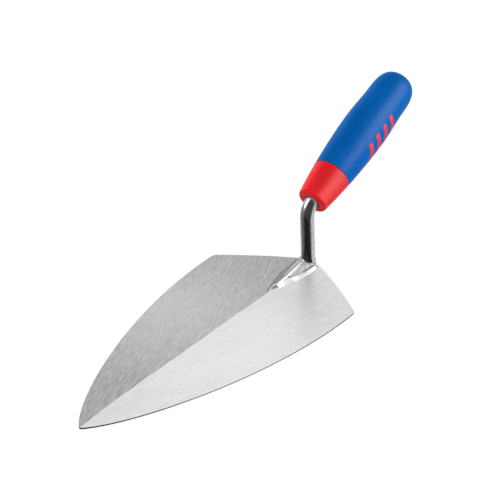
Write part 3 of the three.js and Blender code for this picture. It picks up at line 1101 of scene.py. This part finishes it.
def add_softbox(name, direction, size, power, lit, sheen=True, body=True, shaded_by=()):
    """A round softbox that lights only some pieces, through their sheen, their body colour or both.

    If shaded_by is given, nothing else casts a shadow in its light.
    """
    data = bpy.data.lights.new(name, "AREA")
    data.shape = "DISK"
    data.size = size
    data.energy = power
    light = bpy.data.objects.new(name, data)
    bpy.context.scene.collection.objects.link(light)
    direction = Vector(direction).normalized()
    light.location = VIEW_TARGET + direction * SOFTBOX_DISTANCE
    light.rotation_euler = direction.to_track_quat("Z", "Y").to_euler()
    light.visible_camera = False
    light.visible_glossy = sheen
    light.visible_diffuse = body
    light.light_linking.receiver_collection = collect(name + "_receivers", lit)
    if shaded_by:
        light.light_linking.blocker_collection = collect(name + "_blockers", shaded_by)


def add_world():
    """White behind the tool, and even light from all round.

    Reflections see a room instead: dark round the camera, darker on the left than on the right, grey
    behind the tool and brighter above. facing is 1 towards the camera's side and -1 away from it.
    """
    world = bpy.data.worlds.new("studio")
    bpy.context.scene.world = world
    world.use_nodes = True
    nodes = Nodes(world.node_tree)
    direction = nodes.add("ShaderNodeTexCoord").outputs["Generated"]
    height = nodes.axis(direction, "Z")
    level_length = nodes.math("SQRT", nodes.math("SUBTRACT", 1.0, nodes.math("MULTIPLY", height, height)))
    towards = nodes.vector_math("DOT_PRODUCT", direction, CAMERA_SIDE)
    facing = nodes.math("DIVIDE", towards, nodes.math("MAXIMUM", level_length, 0.01))
    rightwards = nodes.vector_math("DOT_PRODUCT", direction, CAMERA_RIGHT)
    beside = nodes.spread(rightwards, -0.2, 0.2, ROOM_LEFT, ROOM_RIGHT)
    sides = nodes.blend(nodes.spread(facing, -0.75, -0.45), ROOM_BEHIND, beside)
    high = nodes.spread(height, 0.7, 0.9, ROOM_WALL, ROOM_TOP)
    room = nodes.blend(nodes.spread(height, 0.12, 0.42), sides, high)
    room = nodes.blend(nodes.spread(facing, 0.3, 0.62), room, ROOM_FRONT)
    path = nodes.add("ShaderNodeLightPath").outputs
    strength = nodes.blend(path["Is Glossy Ray"], FILL_LIGHT, room)
    strength = nodes.blend(path["Is Camera Ray"], strength, 1.0)
    background = world.node_tree.nodes["Background"]
    nodes.put(background.inputs["Strength"], strength)
    background.inputs["Color"].default_value = (1, 1, 1, 1)


def add_floor():
    """A pale floor that almost glows, so that the tool leaves only a faint shadow on it."""
    corners = [(FLOOR_HALF * x, FLOOR_HALF * y, 0) for x, y in ((-1, -1), (1, -1), (1, 1), (-1, 1))]
    mesh = bpy.data.meshes.new("floor")
    mesh.from_pydata(corners, [], [(0, 1, 2, 3)])
    floor = bpy.data.objects.new("floor", mesh)
    bpy.context.scene.collection.objects.link(floor)
    floor.location.z = -FLOOR_DROP
    floor.visible_glossy = False
    shader = Shader("floor")
    shader.set(
        Base_Color=grey(FLOOR_LEVEL),
        Roughness=1.0,
        Specular_IOR_Level=0.0,
        Emission_Color=grey(1.0),
        Emission_Strength=FLOOR_GLOW,
    )
    mesh.materials.append(shader.material)


# ---- Scene --------------------------------------------------------------------------------------

# The right face's steel is painted lighter than the left face's: painted light and shade for how each face
# meets the light, over their different grain.
blade = build_blade(
    right=ground_steel("steel_right_face", -17, 0.96, grit=0.4, painted_sheen=RIGHT_PAINTED_SHEEN),
    left=ground_steel("steel_left_face", 18, 0.61, BLUE_TINT, grit=0.9, mirrored=0.54, painted_sheen=LEFT_PAINTED_SHEEN),
    underside=ground_steel("steel_underside", 4, 0.7),
    # The edge's steel is painted nearly black: painted shade.
    edge=ground_steel("steel_edge_painted_shade", 0, 0.1, roughness=0.4, anisotropy=0.2),
)
shank = build_shank(
    forged_steel("steel_bar", 0.64, 0.16, 0.7, glow=0.2),
    [
        forged_steel("steel_foot_panel", 0.63, 0.3, 0.85, relief=0.2, lines=JOINT_LINES),
        ground_steel("steel_foot_flat", 4, 0.4, roughness=0.3, lines=FLAT_LINES),
        ground_steel("steel_foot_flank", 8, 0.5, lines=FLAT_LINES + FAR_JOINT_LINES),
    ],
)
weld = build_weld(
    [
        ground_steel("steel_weld", -20, 0.74, roughness=0.36, anisotropy=0.5, lines=JOINT_LINES),
        # The nose's steel is a darker copy of the near side's: painted shade.
        ground_steel("steel_weld_nose", -20, 0.46, roughness=0.36, anisotropy=0.5, lines=FLAT_LINES),
        ground_steel("steel_weld_far", 8, 0.3, lines=FAR_JOINT_LINES),
        forged_steel("steel_scale", 0.13, 0.45, 0.6, relief=0.4),
    ]
)
core = build_core(moulded_plastic("red_plastic", RED, DEEP_RED, 0.4, 0.004, 0.12))
sleeve = build_sleeve(moulded_plastic("blue_plastic", BLUE, DEEP_BLUE, 0.37, 0.01, 0.024))

add_world()
add_floor()
add_softbox("key_softbox", KEY_DIRECTION, 1.2, 11.5, [sleeve], sheen=False)
add_softbox("nose_key_softbox", KEY_DIRECTION, 1.2, 6.5, [core], sheen=False)
add_softbox("nose_fill_softbox", (0.85, -0.3, 0.4), 1.2, 8, [core], sheen=False)
add_softbox("sheen_softbox", (-0.45, 0.76, 0.5), 1.2, 110, [sleeve], body=False)
add_softbox("nose_softbox", (-0.3, 0.93, 0.2), 2.4, 150, [core], body=False)
add_softbox("back_softbox", (-0.31, -0.92, 0.25), 0.9, 20, [core, sleeve], sheen=False)
add_softbox("bend_softbox", (0.45, -0.62, 0.64), 1.2, 6, [shank])
add_softbox("weld_softbox", (-0.62, -0.08, 0.78), 1.4, 12, [weld], shaded_by=[blade])
add_softbox("foot_softbox", (-0.6, -0.2, 0.77), 1.22, 9, [shank], shaded_by=[blade])
add_camera()
bpy.context.scene.view_settings.view_transform = "Standard"
